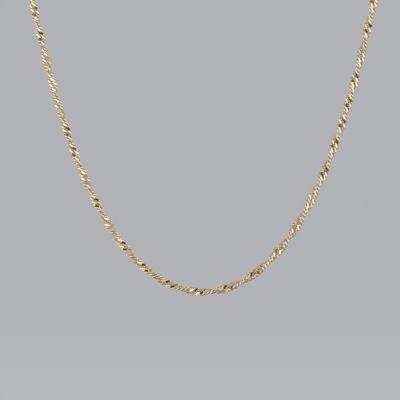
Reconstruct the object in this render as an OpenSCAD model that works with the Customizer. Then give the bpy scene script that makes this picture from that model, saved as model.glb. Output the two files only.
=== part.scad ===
/* [Chain] */
// Greatest width of the twisted chain, which is the thickness of the tube that stands for it
chain_w = 1.8; // [1.6:0.1:2]
// Radius of the bend at the lowest point of the hanging drop
drop_bend = 15.6; // [14:0.2:18]
// Length of chain in the drop, from its lowest point up to the collar on one side
drop_arc = 78; // [72:1:84]
// Wire of the plain link at each end of the chain
end_wire = 0.4; // [0.3:0.05:0.4]

/* [Clasp] */
// Outer diameter of the round clasp
clasp_d = 5.5; // [5:0.5:7]
// Thickness of the clasp's tube
clasp_wire = 1.1; // [0.9:0.05:1.15]
// Outer diameter of the clasp's small eye
eye_d = 2; // [1.8:0.1:2.4]
// Wire of the eye
eye_wire = 0.5; // [0.4:0.05:0.55]
// Outer diameter of a jump ring
ring_d = 2.8; // [2.8:0.1:3.4]
// Wire of a jump ring
ring_wire = 0.4; // [0.3:0.05:0.4]
// Clear distance between two wires that hook into each other
link_gap = 0.1; // [0.1:0.05:0.15]

/* [Hidden] */

gold = [0.86, 0.72, 0.46];
wire_sides = 24;
ring_sides = 64;

// The origin is where the back of the neck touches the jump rings: +Z up, -Y to the front.
// The wires at the nape all have their centres on this plane.
nape_y = ring_d / 2;

// Distance between the centres of two rings that hook into each other and are pulled apart
function hooked(d1, wire1, d2, wire2) = (d1 + d2) / 2 - wire1 - wire2 - link_gap;

// The eye's wire sinks into the clasp's tube by half the eye's wire.
eye_seat = eye_wire / 2;
clasp_to_eye = (clasp_d + eye_d) / 2 - eye_seat;
eye_to_ring = hooked(eye_d, eye_wire, ring_d, ring_wire);
clasp_to_ring = hooked(clasp_d, clasp_wire, ring_d, ring_wire);
ring_to_end = hooked(ring_d, ring_wire, chain_w, end_wire);

// The row of rings lies centred on the nape, from the left end link to the right one.
row_length = ring_to_end + eye_to_ring + clasp_to_eye + clasp_to_ring + ring_to_end;
end_x = row_length / 2;
ring_x = end_x - ring_to_end;
clasp_x = ring_x - clasp_to_ring;
eye_x = clasp_x - clasp_to_eye;

// The drop hangs as a free chain does, in an upright plane in front of the neck.
drop_y = -97;
drop_low = -107;
drop_steps = 15;

function asinh(v) = ln(v + sqrt(v * v + 1));

function drop_point(s) = [
    drop_bend * asinh(s / drop_bend),
    drop_y,
    drop_low + norm([drop_bend, s]) - drop_bend
];

drop_end = drop_point(drop_arc);
drop_way = [drop_bend, 0, drop_arc] / norm([drop_bend, drop_arc]);

// Points of the right half's hidden stretch: over the collar bone, then round the neck.
// The chain's tube sinks into its end link by end_seat.
collar_lift = 20;
collar_in = [53, -70, -19.5];
neck_side = [53, -48, -14];
neck_out = [53, -20, -7];
nape_in = [30, nape_y, 0];
end_seat = 0.15;
tube_end = [end_x + chain_w / 2 - end_seat, nape_y, 0];
collar = [drop_end, drop_end + collar_lift * drop_way, collar_in, neck_side];
neck = [neck_side, neck_out, nape_in, tube_end];
collar_steps = 11;
neck_steps = 13;

function bezier(p, t) =
    (1 - t) ^ 3 * p[0] + 3 * (1 - t) ^ 2 * t * p[1] + 3 * (1 - t) * t ^ 2 * p[2] + t ^ 3 * p[3];

function mirrored(p) = [-p.x, p.y, p.z];

right_half = [
    for (i = [1:drop_steps]) drop_point(drop_arc * i / drop_steps),
    for (i = [1:collar_steps]) bezier(collar, i / collar_steps),
    for (i = [1:neck_steps]) bezier(neck, i / neck_steps)
];

route = [
    for (i = [len(right_half) - 1:-1:0]) mirrored(right_half[i]),
    drop_point(0),
    each right_half
];

// The tube's sides are counted from the line to this point, which no stretch of it runs towards.
loop_centre = [0, -48, -40];
tube_sides = 8;

function unit(v) = v / norm(v);

function way(i) = unit(route[min(i + 1, len(route) - 1)] - route[max(i - 1, 0)]);

function tube_ring(i) =
    let (
        side = unit(cross(way(i), route[i] - loop_centre)),
        out = cross(side, way(i))
    )
    [
        for (k = [0:tube_sides - 1])
            route[i] + chain_w / 2 * (cos(360 * k / tube_sides) * out + sin(360 * k / tube_sides) * side)
    ];

module tube() {
    rings = len(route);
    corners = [for (i = [0:rings - 1]) each tube_ring(i)];
    walls = [
        for (i = [0:rings - 2], k = [0:tube_sides - 1])
            let (
                near = i * tube_sides,
                far = near + tube_sides,
                next = (k + 1) % tube_sides
            )
            [near + k, near + next, far + next, far + k]
    ];
    first_cap = [for (k = [tube_sides - 1:-1:0]) k];
    last_cap = [for (k = [0:tube_sides - 1]) (rings - 1) * tube_sides + k];
    polyhedron(points = corners, faces = concat([first_cap], walls, [last_cap]), convexity = 10);
}

// A round wire bent into a closed ring that stands upright, facing the neck
module wire_ring(outer_d, wire) {
    rotate([90, 0, 0])
        rotate_extrude($fn = ring_sides)
            translate([(outer_d - wire) / 2, 0])
                circle(d = wire, $fn = wire_sides);
}

module at_nape(x) {
    translate([x, nape_y, 0])
        children();
}

module jump_ring(x) {
    color(gold)
        at_nape(x)
            rotate([90, 0, 0])
                wire_ring(ring_d, ring_wire);
}

module chain() {
    color(gold)
        union() {
            tube();
            for (x = [-end_x, end_x])
                at_nape(x)
                    wire_ring(chain_w, end_wire);
        }
}

module left_ring() {
    jump_ring(eye_x - eye_to_ring);
}

module right_ring() {
    jump_ring(ring_x);
}

module clasp() {
    color(gold)
        union() {
            at_nape(clasp_x)
                wire_ring(clasp_d, clasp_wire);
            at_nape(eye_x)
                wire_ring(eye_d, eye_wire);
        }
}

chain();
left_ring();
right_ring();
clasp();
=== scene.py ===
import math
import bpy
import numpy as np
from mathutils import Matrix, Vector


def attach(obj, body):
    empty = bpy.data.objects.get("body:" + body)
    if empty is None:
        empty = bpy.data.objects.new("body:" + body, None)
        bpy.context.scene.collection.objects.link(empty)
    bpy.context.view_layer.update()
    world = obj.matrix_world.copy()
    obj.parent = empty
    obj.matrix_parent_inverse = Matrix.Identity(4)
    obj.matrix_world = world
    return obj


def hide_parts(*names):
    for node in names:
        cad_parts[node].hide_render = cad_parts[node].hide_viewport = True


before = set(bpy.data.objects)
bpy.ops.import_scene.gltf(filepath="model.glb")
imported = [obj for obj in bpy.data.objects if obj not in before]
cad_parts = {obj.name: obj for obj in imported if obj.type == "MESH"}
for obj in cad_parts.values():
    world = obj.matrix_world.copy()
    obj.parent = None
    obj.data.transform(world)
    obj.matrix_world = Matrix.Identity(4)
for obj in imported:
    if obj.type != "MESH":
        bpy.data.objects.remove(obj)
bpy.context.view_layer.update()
mm = 0.001

# Where the photograph's frame lies on the hanging drop, in pixels of its 400 by 400 image
photo = {
    "side": 400,
    "pixel": 0.207 * mm,  # real size of one pixel at the chain
    "lowestPoint": (203.2, 291.9),
    "distance": 600 * mm,  # from the camera to the chain
    "sensor": 36,
    "nearest": 10 * mm,  # nothing closer to the camera is drawn
}

# The chain's line: a free-hanging drop, then over the collar bone and round the neck
line = {
    "bend": 15.6 * mm,  # radius at the lowest point
    "arc": 78 * mm,  # length of the drop on each side
    "front": -97 * mm,
    "low": -107 * mm,
    "collarLift": 20 * mm,  # how far the way out of the drop is felt above it
    "collarIn": (53 * mm, -70 * mm, -19.5 * mm),
    "neckSide": (53 * mm, -48 * mm, -14 * mm),
    "neckOut": (53 * mm, -20 * mm, -7 * mm),
    "napeIn": (30 * mm, 1.4 * mm, 0),
    "end": (5.875 * mm, 1.4 * mm, 0),
    "endLink": (5.125 * mm, 1.4 * mm, 0),
    "points": 800,  # on each of its three stretches
}


def placeCamera():
    lens = bpy.data.cameras.new("photoCamera")
    across = photo["side"] * photo["pixel"]
    lens.sensor_width = photo["sensor"]
    lens.lens = photo["sensor"] * photo["distance"] / across
    lens.clip_start = photo["nearest"]
    camera = bpy.data.objects.new("photoCamera", lens)
    bpy.context.scene.collection.objects.link(camera)
    half = photo["side"] / 2
    x = (half - photo["lowestPoint"][0]) * photo["pixel"]
    z = line["low"] + (photo["lowestPoint"][1] - half) * photo["pixel"]
    camera.location = (x, line["front"] - photo["distance"], z)
    camera.rotation_euler = (math.pi / 2, 0, 0)  # level, looking from the front to the nape
    bpy.context.scene.camera = camera
    print("camera stands", photo["distance"], "m in front of the drop")


placeCamera()


def bezier(points, t):
    a, b, c, d = (np.array(p) for p in points)
    t = t[:, None]
    return (1 - t) ** 3 * a + 3 * (1 - t) ** 2 * t * b + 3 * (1 - t) * t ** 2 * c + t ** 3 * d


def rightHalf():
    # points of the right half's line, close together, from the lowest point to the end link
    s = np.linspace(0, line["arc"], line["points"])
    drop = np.zeros((len(s), 3))
    drop[:, 0] = line["bend"] * np.arcsinh(s / line["bend"])
    drop[:, 1] = line["front"]
    drop[:, 2] = line["low"] + np.hypot(line["bend"], s) - line["bend"]
    way = np.array([line["bend"], 0, line["arc"]]) / np.hypot(line["bend"], line["arc"])
    t = np.linspace(0, 1, line["points"])[1:]
    collar = bezier((drop[-1], drop[-1] + line["collarLift"] * way, line["collarIn"], line["neckSide"]), t)
    neck = bezier((line["neckSide"], line["neckOut"], line["napeIn"], line["end"]), t)
    return np.vstack([drop, collar, neck, [line["endLink"]]])


def unit(v):
    return v / np.linalg.norm(v, axis=-1, keepdims=True)


class ChainLine:
    # the whole line by its length from the lowest point, negative on the left
    def __init__(self):
        right = rightHalf()
        left = right[:0:-1] * [-1, 1, 1]
        self.points = np.vstack([left, right])
        steps = np.linalg.norm(np.diff(self.points, axis=0), axis=1)
        length = np.concatenate([[0], np.cumsum(steps)])
        self.half = length[-1] / 2
        self.along = length - self.half
        self.ways = unit(np.gradient(self.points, self.along, axis=0))
        self.outs = self.carryOut(len(right) - 1)

    def carryOut(self, middle):
        # a direction square to the line, towards the viewer at the drop, carried along without turning
        outs = np.zeros_like(self.points)
        outs[middle] = (0, -1, 0)
        for step in (1, -1):
            i = middle
            while 0 <= i + step < len(outs):
                way = self.ways[i + step]
                outs[i + step] = unit(outs[i] - way * (outs[i] @ way))
                i += step
        return outs

    def at(self, s):
        # point, way along, way up and way out at each length in s
        point, way, out = (
            np.array([np.interp(s, self.along, column[:, k]) for k in range(3)]).T
            for column in (self.points, self.ways, self.outs)
        )
        way = unit(way)
        out = unit(out - way * (out * way).sum(-1, keepdims=True))
        return point, way, np.cross(out, way), out


# One link of the chain. It passes through the next two links, which makes a flat ribbon that is twisted.
links = {
    "width": 1.7 * mm,
    "thickness": 1.28 * mm,  # before its front and back are cut flat
    "wire": 0.36 * mm,
    "pitch": 0.89 * mm,
    "slack": 0.03 * mm,  # how much longer a link is than its neighbours need
    # bend along length, width and thickness: above 0 squarer, below 0 more pointed
    "square": (-0.08, -0.26, 0.08),
    "bentFor": -22.5,  # degrees of ribbon turn from link to link that the bend is made for
    "around": 48,
    "sides": 12,
    "wobble": 1.0,  # degrees that a link may lie off the even twist
    "seed": 7,  # another seed gives other wobbles, leans and tints
    "flatAt": 0.49 * mm,  # distance from a link's middle at which its front and back are cut flat
    "flatLean": 6,  # degrees that a flat may lean, different on each link
    "nudge": 0.001,  # step of angle that finds a wire's direction
    "mapColumns": 6,
    "mapEdge": 0.03,  # bare share round a wire's strip on the bake's map
}

# The plain round link at each end of the chain
endRing = {
    "width": 1.8 * mm,
    "wire": 0.4 * mm,
}

# The ribbon's twist
twist = {
    # places where the photograph shows the ribbon edge on, in mm of chain from the lowest point
    "edgeOn": [
        -69.2, -64.6, -58.9, -54.1, -48.9, -44.1, -39.1, -32.9, -28.2, -23.1, -16.9, -10.7, -4.5,
        1.6, 8.1, 14.9, 21.4, 27.6, 34.3, 40.2, 45.7, 50.3, 54.6, 59.7, 65.6, 71.3,
    ],
    "hidden": 5.8 * mm,  # length of half a turn where the photograph doesn't show it
    "evenedOver": 7,  # places within a pitch to each side over which its pace is evened out
}
halfTurn = 180.0  # degrees
quarterTurn = 90.0


def uprightAt(chainLine, s):
    # the turn at which a link lies upright, facing the neck
    _, _, up, out = chainLine.at(np.array([s]))
    return math.degrees(math.atan2(out[0][2], up[0][2]))


def linkHalfLong():
    return links["pitch"] + (links["wire"] + links["slack"]) / 2


def endRingRadius():
    return (endRing["width"] - endRing["wire"]) / 2


def wave(turn, square):
    return (np.sin(turn) + square * np.sin(3 * turn)) / (1 - square)


def linkMiddle(u, turnStep):
    # a link's middle line at angles u: its length lies along x, its width along y, and its flats face z
    squareLong, squareWide, squareThick = links["square"]
    x = linkHalfLong() * wave(u + np.pi / 2, squareLong)
    y = (links["width"] - links["wire"]) / 2 * wave(u, squareWide)
    z = (links["wire"] - links["thickness"]) / 2 * wave(2 * u, squareThick)
    turn = np.radians(turnStep - links["bentFor"]) * x / links["pitch"]
    return np.stack([x, y * np.cos(turn) - z * np.sin(turn), y * np.sin(turn) + z * np.cos(turn)], axis=-1)


def ringMiddle(u):
    return np.stack([endRingRadius() * np.cos(u), endRingRadius() * np.sin(u), 0 * u], axis=-1)


def endWireTurn():
    # degrees from a link's width to the wire at its far end
    nudge, bentFor = links["nudge"], links["bentFor"]
    _, y, z = linkMiddle(nudge, bentFor) - linkMiddle(-nudge, bentFor)
    return math.degrees(math.atan2(z, y))


def ribbonTurn(chainLine, s):
    # degrees by which the ribbon is turned at each link: left-handed, so it falls along the line
    places = np.array(twist["edgeOn"]) * mm
    turns = quarterTurn - halfTurn * np.arange(len(places))
    hiddenRate = -halfTurn / twist["hidden"]
    # the first and the last link stand so that their end wires hook square through the end rings
    hook = quarterTurn + endWireTurn()
    wanted = (uprightAt(chainLine, s[0]) + hook, uprightAt(chainLine, s[-1]) - hook)
    free = (turns[0] + (s[0] - places[0]) * hiddenRate, turns[-1] + (s[-1] - places[-1]) * hiddenRate)
    first, last = (near + halfTurn * round((far - near) / halfTurn) for near, far in zip(wanted, free))
    knots = np.concatenate([[s[0]], places, [s[-1]]])
    values = np.concatenate([[first], turns, [last]])
    spread = np.linspace(-1, 1, twist["evenedOver"]) * links["pitch"]
    evened = np.mean([np.interp(s + shift, knots, values) for shift in spread], axis=0)
    nearEnds = [0, 1, -2, -1]
    evened[nearEnds] = np.interp(s[nearEnds], knots, values)
    return evened


def wireWall(curve, wire, facings, flatAt):
    # points round a closed wire, cut flat past flatAt on the side of each facing
    # gives the points, and which faces are flat
    u = np.linspace(0, 2 * np.pi, links["around"], endpoint=False)
    middle = curve(u)
    way = unit(curve(u + links["nudge"]) - curve(u - links["nudge"]))
    front = unit(np.array([0, 0, 1]) - way * way[:, 2:])
    side = np.cross(way, front)
    least = np.pi / links["sides"]
    turns, halves, isCut = [], [], []
    for facing in facings:
        first, second = front @ facing, side @ facing
        share = (flatAt - middle @ facing) / (wire / 2 * np.hypot(first, second))
        half = np.maximum(np.arccos(np.clip(share, -1, 1)), least)
        turns.append(np.arctan2(second, first) % (2 * np.pi))
        halves.append(half)
        isCut.append((half > least) & (np.roll(half, -1) > least))
    turns[0] = (turns[0] + np.pi) % (2 * np.pi) - np.pi
    k = np.linspace(0, 1, links["sides"] // 2)
    right = np.outer(turns[0] + halves[0], 1 - k) + np.outer(turns[1] - halves[1], k)
    left = np.outer(turns[1] + halves[1], 1 - k) + np.outer(turns[0] - halves[0] + 2 * np.pi, k)
    v = np.concatenate([right, left], axis=1)[..., None]
    wall = middle[:, None] + wire / 2 * (np.cos(v) * front[:, None] + np.sin(v) * side[:, None])
    flat = np.zeros((links["around"], links["sides"]), bool)
    flat[:, -1] = isCut[0]
    flat[:, links["sides"] // 2 - 1] = isCut[1]
    return wall.reshape(-1, 3), flat.ravel()


def linkWall(turnStep, dice):
    # a link's front and back flats lean a little, each its own way
    lean = np.tan(np.radians(dice.uniform(-1, 1, (2, 2)) * links["flatLean"]))
    facings = unit(np.column_stack([lean, [1, -1]]))
    return wireWall(lambda u: linkMiddle(u, turnStep), links["wire"], facings, links["flatAt"])


def endRingWall():
    # cut past its wire, so not at all
    facings = np.array([[0, 0, 1], [0, 0, -1]])
    return wireWall(ringMiddle, endRing["wire"], facings, endRing["wire"])


def wallFaces(count):
    # four-cornered faces of count closed wires whose points follow each other
    rings, sides = links["around"], links["sides"]
    i, k = np.meshgrid(np.arange(rings), np.arange(sides), indexing="ij")
    near, far = i * sides, (i + 1) % rings * sides
    after = (k + 1) % sides
    one = np.stack([near + k, near + after, far + after, far + k], axis=-1).reshape(-1, 4)
    return (one[None] + (np.arange(count) * rings * sides)[:, None, None]).reshape(-1, 4)


def layOutMap(mesh):
    # the bake's map, with one long strip for each wire
    rings, sides = links["around"], links["sides"]
    count = len(mesh.polygons) // (rings * sides)
    wires, i, k = np.meshgrid(np.arange(count), np.arange(rings), np.arange(sides), indexing="ij")
    u = (i[..., None] + [0, 0, 1, 1]) / rings
    v = (k[..., None] + [0, 1, 1, 0]) / sides
    columns, edge = links["mapColumns"], links["mapEdge"]
    rows = math.ceil(count / columns)
    u = (wires[..., None] % columns + edge + (1 - 2 * edge) * u) / columns
    v = (wires[..., None] // columns + edge + (1 - 2 * edge) * v) / rows
    layer = mesh.uv_layers.new(name="OFBake")
    layer.uv.foreach_set("vector", np.stack([u, v], axis=-1).astype(np.float32).ravel())


def meshFrom(name, corners, flat, tint, inner):
    # a chain piece with what its gold needs to know: flats and a tint by face, and how far in a point lies,
    # which sets the painted shade inside the chain
    faces = wallFaces(len(corners) // (links["around"] * links["sides"]))
    mesh = bpy.data.meshes.new(name)
    mesh.vertices.add(len(corners))
    mesh.vertices.foreach_set("co", corners.astype(np.float32).ravel())
    mesh.loops.add(faces.size)
    mesh.loops.foreach_set("vertex_index", faces.astype(np.int32).ravel())
    mesh.polygons.add(len(faces))
    mesh.polygons.foreach_set("loop_start", np.arange(0, faces.size, 4, dtype=np.int32))
    mesh.update(calc_edges=True)
    for key, domain, numbers in (("flat", "FACE", flat), ("tint", "FACE", tint), ("inner", "POINT", inner)):
        mesh.attributes.new(key, "FLOAT", domain).data.foreach_set("value", numbers.astype(np.float32))
    layOutMap(mesh)
    mesh.polygons.foreach_set("use_smooth", ~flat)
    mesh.validate()
    piece = bpy.data.objects.new(name, mesh)
    bpy.context.scene.collection.objects.link(piece)
    return piece


def buildChain():
    chainLine = ChainLine()
    # from an end ring's middle to that of the link that hooks into it
    hooked = linkHalfLong() + endRingRadius() - (endRing["wire"] + links["wire"]) / 2 - links["slack"]
    last = chainLine.half - hooked
    s = np.linspace(-last, last, 1 + 2 * round(last / links["pitch"]))
    turns = ribbonTurn(chainLine, s)
    turnSteps = np.gradient(turns)
    dice = np.random.default_rng(links["seed"])
    turns = turns + dice.uniform(-1, 1, len(s)) * links["wobble"]
    print("chain line is", round(2 * chainLine.half / mm, 1), "mm long, with", len(s), "links")

    def placed(place, turn, shape):
        point, way, up, out = (v[0] for v in chainLine.at(np.array([place])))
        c, d = math.cos(math.radians(turn)), math.sin(math.radians(turn))
        return point + shape @ np.array([way, c * up + d * out, c * out - d * up])

    shapes = []  # of each wire: its place, points, flat faces, tint, and how far in each point lies
    for place, turn, step in zip(s, turns, turnSteps):
        shape, flat = linkWall(step, dice)
        # how far in a point lies, 0 at the ribbon's edge; the gold's painted shade grows with it
        inner = 1 - np.hypot(shape[:, 1], shape[:, 2]) / (links["width"] / 2)
        shapes.append((place, placed(place, turn, shape), flat, dice.uniform(), inner))
    for place in (-chainLine.half, chainLine.half):
        shape, flat = endRingWall()
        turn = uprightAt(chainLine, place)
        shapes.append((place, placed(place, turn, shape), flat, dice.uniform(), 0 * shape[:, 0]))

    pieces = []
    for name, low, high in (
        ("chain_neck_left", -math.inf, -line["arc"]), ("chain_drop_left", -line["arc"], 0),
        ("chain_drop_right", 0, line["arc"]), ("chain_neck_right", line["arc"], math.inf),
    ):
        _, corners, flats, tints, inners = zip(*(shape for shape in shapes if low <= shape[0] < high))
        faceTints = np.repeat(tints, links["around"] * links["sides"])
        joined = (np.concatenate(part) for part in (corners, flats, [faceTints], inners))
        piece = meshFrom(name, *joined)
        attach(piece, "root")
        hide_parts("chain")
        pieces.append(piece)
        print(name, "has", len(corners), "links")
    return pieces


chainPieces = buildChain()


class Wire:
    # a socket of a node, so that shader maths reads as an expression
    def __init__(self, graph, socket):
        self.graph, self.socket = graph, socket

    def output(self, name):
        return Wire(self.graph, self.socket.node.outputs[name])

    def __add__(self, other):
        return self.graph.maths("ADD", self, other)

    def __sub__(self, other):
        return self.graph.maths("SUBTRACT", self, other)

    def __rsub__(self, other):
        return self.graph.maths("SUBTRACT", other, self)

    def __mul__(self, other):
        return self.graph.maths("MULTIPLY", self, other)

    __radd__ = __add__
    __rmul__ = __mul__


class Graph:
    # the nodes of one material, or of the world
    def __init__(self, owner):
        owner.use_nodes = True
        self.owner, self.tree = owner, owner.node_tree
        self.tree.nodes.clear()

    def feed(self, socket, value):
        if isinstance(value, Wire):
            self.tree.links.new(value.socket, socket)
        else:
            socket.default_value = value

    def node(self, kind, settings=None, sockets=None, out=0):
        made = self.tree.nodes.new(kind)
        for key, value in (settings or {}).items():
            setattr(made, key, value)
        for key, value in (sockets or {}).items():
            self.feed(made.inputs[key], value)
        return Wire(self, made.outputs[out]) if made.outputs else made

    def maths(self, operation, first, second):
        return self.node("ShaderNodeMath", {"operation": operation}, {0: first, 1: second})

    def mix(self, amount, first, second):
        return self.node("ShaderNodeMix", {"data_type": "RGBA"}, {0: amount, 6: first, 7: second}, 2)

    def eased(self, value, low, high):
        # 0 up to low, 1 from high on, and a soft step between them
        sockets = {"Value": value, "From Min": low, "From Max": high}
        return self.node("ShaderNodeMapRange", {"interpolation_type": "SMOOTHSTEP"}, sockets)

    def attribute(self, name):
        return self.node("ShaderNodeAttribute", {"attribute_name": name}, None, "Fac")

    def noise(self, place, scale, detail):
        return self.node("ShaderNodeTexNoise", None, {"Vector": place, "Scale": scale, "Detail": detail})


goldLook = {
    "cool": (0.89, 0.82, 0.57, 1),
    "warm": (0.95, 0.80, 0.58, 1),
    # painted shade: a darker, richer gold that stands in for the shade between the links inside the chain
    "paintedShade": (0.68, 0.48, 0.24, 1),
    "cloud": (900, 3),  # scale and detail of the soft change from cool to warm
    "cloudShare": 0.4,  # of that change in a link's tint; the rest is the link's own
    "paintedShadeShare": 0.55,  # of the painted shade's darker colour inside the chain
    "paintedShadeEdge": (0.3, 0.9),  # where the painted shade starts and is full, from 0 at the ribbon's edge to 1 at its middle
    "grain": (6000, 2),  # scale and detail of the fine polishing marks
    "roughness": 0.09,
    "scuff": 0.12,
    "flatRoughness": 0.04,
    "bump": 0.08,
    "bumpDepth": 0.02 * mm,
    "flatBump": 0.2,  # share of the marks that a cut flat keeps
}


def goldPaint(name, isChain):
    graph = Graph(bpy.data.materials.new(name))
    place = graph.node("ShaderNodeTexCoord", out="Object")
    cloud = graph.noise(place, *goldLook["cloud"])
    grain = graph.noise(place, *goldLook["grain"])
    height = grain
    roughness = goldLook["roughness"] + goldLook["scuff"] * grain
    if isChain:
        cloudShare = goldLook["cloudShare"]
        tint = cloudShare * cloud + (1 - cloudShare) * graph.attribute("tint")
        colour = graph.mix(tint, goldLook["cool"], goldLook["warm"])
        # painted shade: the gold darkens towards the ribbon's middle, where the links shade each other
        paintedShade = graph.eased(graph.attribute("inner"), *goldLook["paintedShadeEdge"]) * goldLook["paintedShadeShare"]
        colour = graph.mix(paintedShade, colour, goldLook["paintedShade"])
        flat = graph.attribute("flat")
        roughness = roughness * (1 - flat) + goldLook["flatRoughness"] * flat
        height = grain * (1 - (1 - goldLook["flatBump"]) * flat)
    else:
        colour = graph.mix(cloud, goldLook["cool"], goldLook["warm"])
    bump = graph.node("ShaderNodeBump", None, {
        "Strength": goldLook["bump"],
        "Distance": goldLook["bumpDepth"],
        "Height": height,
    })
    shader = graph.node("ShaderNodeBsdfPrincipled", None, {
        "Base Color": colour,
        "Metallic": 1.0,
        "Roughness": roughness,
        "Normal": bump,
    })
    graph.node("ShaderNodeOutputMaterial", None, {"Surface": shader})
    return graph.owner


chainGold = goldPaint("chainGold", True)
fittingGold = goldPaint("fittingGold", False)
fittings = ("left_ring", "right_ring", "clasp")
for piece in chainPieces:
    piece.data.materials.append(chainGold)
for name in fittings:
    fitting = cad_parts[name]
    fitting.data.materials.clear()
    fitting.data.materials.append(fittingGold)
print("gold is on", len(chainPieces), "chain pieces and", len(fittings), "fittings")


studio = {
    "floorDrop": 30 * mm,  # from the lowest point of the chain down to the floor
    "floorHalf": 20,
    "floorShade": (0.545, 0.56, 0.58, 1),
    "floorLight": 0.8,  # brightness of the room as the floor sees it
    "floorTint": (1, 1, 1, 1),  # and its colour
    "tentSide": 1.17,  # brightness of the room as the gold sees it, from the sides
    "tentLow": 0.40,  # from below
    "tentHigh": 0.56,  # and from above
    "lowEdge": (0.2, 0.8),  # how far down, of 1 for straight down, that starts and is full
    "highEdge": (0.1, 0.6),  # and how far up
    "backShare": 0.44,  # what is left of it behind the chain
    "backEdge": (0.2, 0.7),
    "lensShare": 0.09,  # and in the patch round and above the camera
    "lensMiddle": 0.32,  # how far above the camera the patch's middle lies
    "lensAcross": 0.62,
    "lensUp": 0.40,
    "lensEdge": (0.5, 1.4),  # of the patch, in squares of its size
    "frontEdge": (-0.3, 0),  # where the half of the room with the patch in it ends
    "daylight": (0.96, 0.99, 1.05, 1),  # colour of the bright parts of the room
    "lamplight": (1.0, 0.74, 0.42, 1),  # and of the dim ones
    "lightEdge": (0.1, 1.0),  # brightness of the first dim and the last bright part
}

# Soft lamps in front of the chain, in metres and watts
lamps = {
    "keyLight": {"place": (-0.35, -0.6, 0.35), "side": 0.2, "power": 0.5},
    "sideLight": {"place": (0.6, -0.5, 0.6), "side": 0.3, "power": 0.5},
}


def buildFloor():
    mesh = bpy.data.meshes.new("floor")
    half, z = studio["floorHalf"], line["low"] - studio["floorDrop"]
    corners = [(-half, -half, z), (half, -half, z), (half, half, z), (-half, half, z)]
    mesh.from_pydata(corners, [], [(0, 1, 2, 3)])
    floor = bpy.data.objects.new("floor", mesh)
    bpy.context.scene.collection.objects.link(floor)
    graph = Graph(bpy.data.materials.new("floorPaint"))
    shader = graph.node("ShaderNodeBsdfDiffuse", None, {"Color": studio["floorShade"]})
    graph.node("ShaderNodeOutputMaterial", None, {"Surface": shader})
    mesh.materials.append(graph.owner)
    floor.visible_glossy = False  # the gold reflects the room alone


def buildRoom():
    # the gold sees a bright tent, dimmer above, below and behind, with a dark patch round the camera
    world = bpy.data.worlds.new("room")
    bpy.context.scene.world = world
    graph = Graph(world)
    way = graph.node("ShaderNodeTexCoord", out="Generated")
    split = graph.node("ShaderNodeSeparateXYZ", None, {0: way})
    x, y, z = split.output("X"), split.output("Y"), split.output("Z")
    across = x * (1 / studio["lensAcross"])
    up = (z - studio["lensMiddle"]) * (1 / studio["lensUp"])
    awayFromLens = graph.eased(across * across + up * up, *studio["lensEdge"])
    notLens = graph.maths("MAXIMUM", awayFromLens, graph.eased(y, *studio["frontEdge"]))
    behind = graph.eased(y, *studio["backEdge"])
    side = studio["tentSide"]
    tent = side + (studio["tentHigh"] - side) * graph.eased(z, *studio["highEdge"])
    tent = tent + (studio["tentLow"] - side) * graph.eased(-1 * z, *studio["lowEdge"])
    tent = tent * (1 - behind * (1 - studio["backShare"]))
    tent = tent * (studio["lensShare"] + (1 - studio["lensShare"]) * notLens)
    path = graph.node("ShaderNodeLightPath", out="Is Camera Ray")
    isGlossy = path.output("Is Glossy Ray")
    strength = isGlossy * tent + (1 - isGlossy) * studio["floorLight"]
    colour = graph.mix(graph.eased(tent, *studio["lightEdge"]), studio["lamplight"], studio["daylight"])
    colour = graph.mix(isGlossy, studio["floorTint"], colour)
    # past the floor's far edge the camera sees a ground of the same shade
    colour = graph.mix(path, colour, studio["floorShade"])
    background = graph.node("ShaderNodeBackground", None, {"Color": colour, "Strength": strength})
    graph.node("ShaderNodeOutputWorld", None, {"Surface": background})


def softbox(name, place, side, power):
    lamp = bpy.data.lights.new(name, "AREA")
    lamp.shape = "SQUARE"
    lamp.size = side
    lamp.energy = power
    box = bpy.data.objects.new(name, lamp)
    bpy.context.scene.collection.objects.link(box)
    box.location = place
    dropMiddle = Vector((0, line["front"], line["low"] / 2))
    box.rotation_euler = (box.location - dropMiddle).to_track_quat("Z", "Y").to_euler()
    box.visible_camera = False


buildFloor()
buildRoom()
for name, lamp in lamps.items():
    softbox(name, **lamp)
bpy.context.scene.view_settings.view_transform = "Standard"
print("studio is lit")
